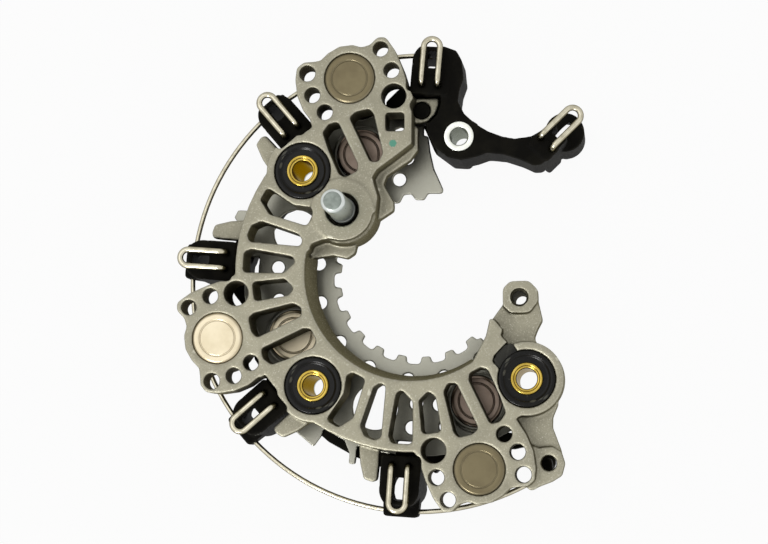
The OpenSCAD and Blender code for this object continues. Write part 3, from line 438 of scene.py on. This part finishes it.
# the third insulator is keyed against turning
insulatorKey = {"outline": [(20.1, -22.6), (20.4, -21.2), (23.4, -18), (24.7, -17.9), (26.5, -20.6), (22.6, -25.2)],
                "depths": (1.0, 3.8)}
spacerRing = [(3.23, 0), (5.5, 0), (5.5, 6.8), (3.23, 6.8)]
washerRing = [(2.6, 0), (5.25, 0), (5.25, 1.5), (2.6, 1.5)]
studRod = [(0, 0), (2.2, 0), (3.0, 0.8), (3.0, 16.5), (3.3, 16.8), (3.3, 29.3), (6.2, 29.3), (6.2, 32.2), (5.9, 32.5),
           (0, 32.5)]
insertTube = [(2.2, 0.35), (2.5, 0), (3.75, 0), (3.75, 17.3), (2.2, 17.3)]
for k in (1, 2, 3):
    turned(f"frontCup{k}", f"positive_diode_can_{k}", polishedNickelPaintedReflection if k == 2 else nickel, "can", cup, 0.14)
    turned(f"backCup{k}", f"negative_diode_can_{k}", polishedNickelPaintedReflection if k == 2 else brownNickel, "can", cup, 0.14)
    turned(f"bush{k}", f"brass_bush_{k}", brass, "brass", bushTube, 0.12)
    turned(f"insulator{k}", f"bush_insulator_{k}", phenolic, "insulator", insulatorCup, 0.25, f"brass_bush_{k}",
           insulatorKey if k == 3 else None)
    turned(f"spacer{k}", f"fin_spacer_{k}", phenolic, "insulator", spacerRing, 0.2)
    turned(f"washer{k}", f"steel_washer_{k}", zinc, "zinc", washerRing, 0.2)
    easedCopy(f"cap{k}", f"joint_cap_{k}", nylon, 0.25)
stud = turned("stud", "output_stud", zinc, "zinc", studRod, 0.3)
stud.data.materials.append(cutZinc)
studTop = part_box("output_stud")[1].z
for face in stud.data.polygons:
    if face.center.z > studTop - 0.06 * mm:
        face.material_index = 1
turned("armInsert", "arm_insert", brightZinc, "zinc", insertTube, 0.15)
print("pieces made")

kept = {"chip": silicon, "lead": copper, "seal": resin, "ring_wire": tin, "hook": tin, "phase_link": copper}
for nodeName, nodeObject in nodes.items():
    for key, mat in kept.items():
        if key in nodeName:
            nodeObject.data.materials.clear()
            nodeObject.data.materials.append(mat)

# ---- floor, lamps and background ----
studio = {"floor": "#efefec", "room": 0.5, "softbox": 0.68, "fill": 0.45, "glint": 2.4, "glow": 0.94}


def layFloor():
    bpy.ops.mesh.primitive_plane_add(size=6, location=(0, 0, cadBox[0].z - 0.0002))
    floor = bpy.context.object
    floor.name = "bench"
    mat, shader = startMaterial("paleBench", Base_Color=studio["floor"], Roughness=0.9)
    light = addNode(mat, "LightPath")
    seen = addNode(mat, "Math", {"operation": "MAXIMUM"},
                   {0: light.outputs["Is Camera Ray"], 1: light.outputs["Is Glossy Ray"]})
    seenToo = addNode(mat, "Math", {"operation": "MAXIMUM"}, {0: seen.outputs[0], 1: light.outputs["Is Transmission Ray"]})
    part = addNode(mat, "Math", {"operation": "MULTIPLY", 1: studio["glow"]}, {0: seenToo.outputs[0]})
    glow = addNode(mat, "Emission", {"Color": "#ffffff", "Strength": 1.0})
    both = addNode(mat, "MixShader", {}, {0: part.outputs[0], 1: shader.outputs[0], 2: glow.outputs[0]})
    mat.node_tree.links.new(both.outputs[0], mat.node_tree.nodes["Material Output"].inputs["Surface"])
    floor.data.materials.append(mat)


def lightRoom():
    world = bpy.data.worlds.new("paleRoom")
    world.use_nodes = True
    bpy.context.scene.world = world
    plain = world.node_tree.nodes["Background"]
    plain.inputs["Color"].default_value = linear("#ffffff")
    plain.inputs["Strength"].default_value = studio["room"]
    light = addNode(world, "LightPath")
    seen = addNode(world, "Math", {"operation": "MAXIMUM"},
                   {0: light.outputs["Is Camera Ray"], 1: light.outputs["Is Glossy Ray"]})
    seenToo = addNode(world, "Math", {"operation": "MAXIMUM"}, {0: seen.outputs[0], 1: light.outputs["Is Transmission Ray"]})
    white = addNode(world, "Background", {"Color": "#ffffff", "Strength": 1.0})
    both = addNode(world, "MixShader", {}, {0: seenToo.outputs[0], 1: plain.outputs[0], 2: white.outputs[0]})
    world.node_tree.links.new(both.outputs[0], world.node_tree.nodes["World Output"].inputs["Surface"])
    # the glint is a small low lamp that only glossy rays meet, for the lit arcs on lips and rims
    lamps = {"softbox": ((-0.3, 0.02, 0.7), 0.5, studio["softbox"]), "fill": ((0.5, -0.45, 0.6), 0.6, studio["fill"]),
             "glint": ((-0.24, -0.46, 0.38), 0.14, studio["glint"])}
    for name, (spot, size, power) in lamps.items():
        lampData = bpy.data.lights.new(name, "AREA")
        lampData.size, lampData.energy = size, power
        lamp = bpy.data.objects.new(name, lampData)
        lamp.location = spot
        lamp.rotation_euler = (Vector((0, 0, 0)) - Vector(spot)).to_track_quat("-Z", "Y").to_euler()
        lamp.visible_diffuse = name != "glint"
        bpy.context.scene.collection.objects.link(lamp)


layFloor()
lightRoom()
bpy.context.scene.view_settings.view_transform = "Standard"
print("bench and lamps set")
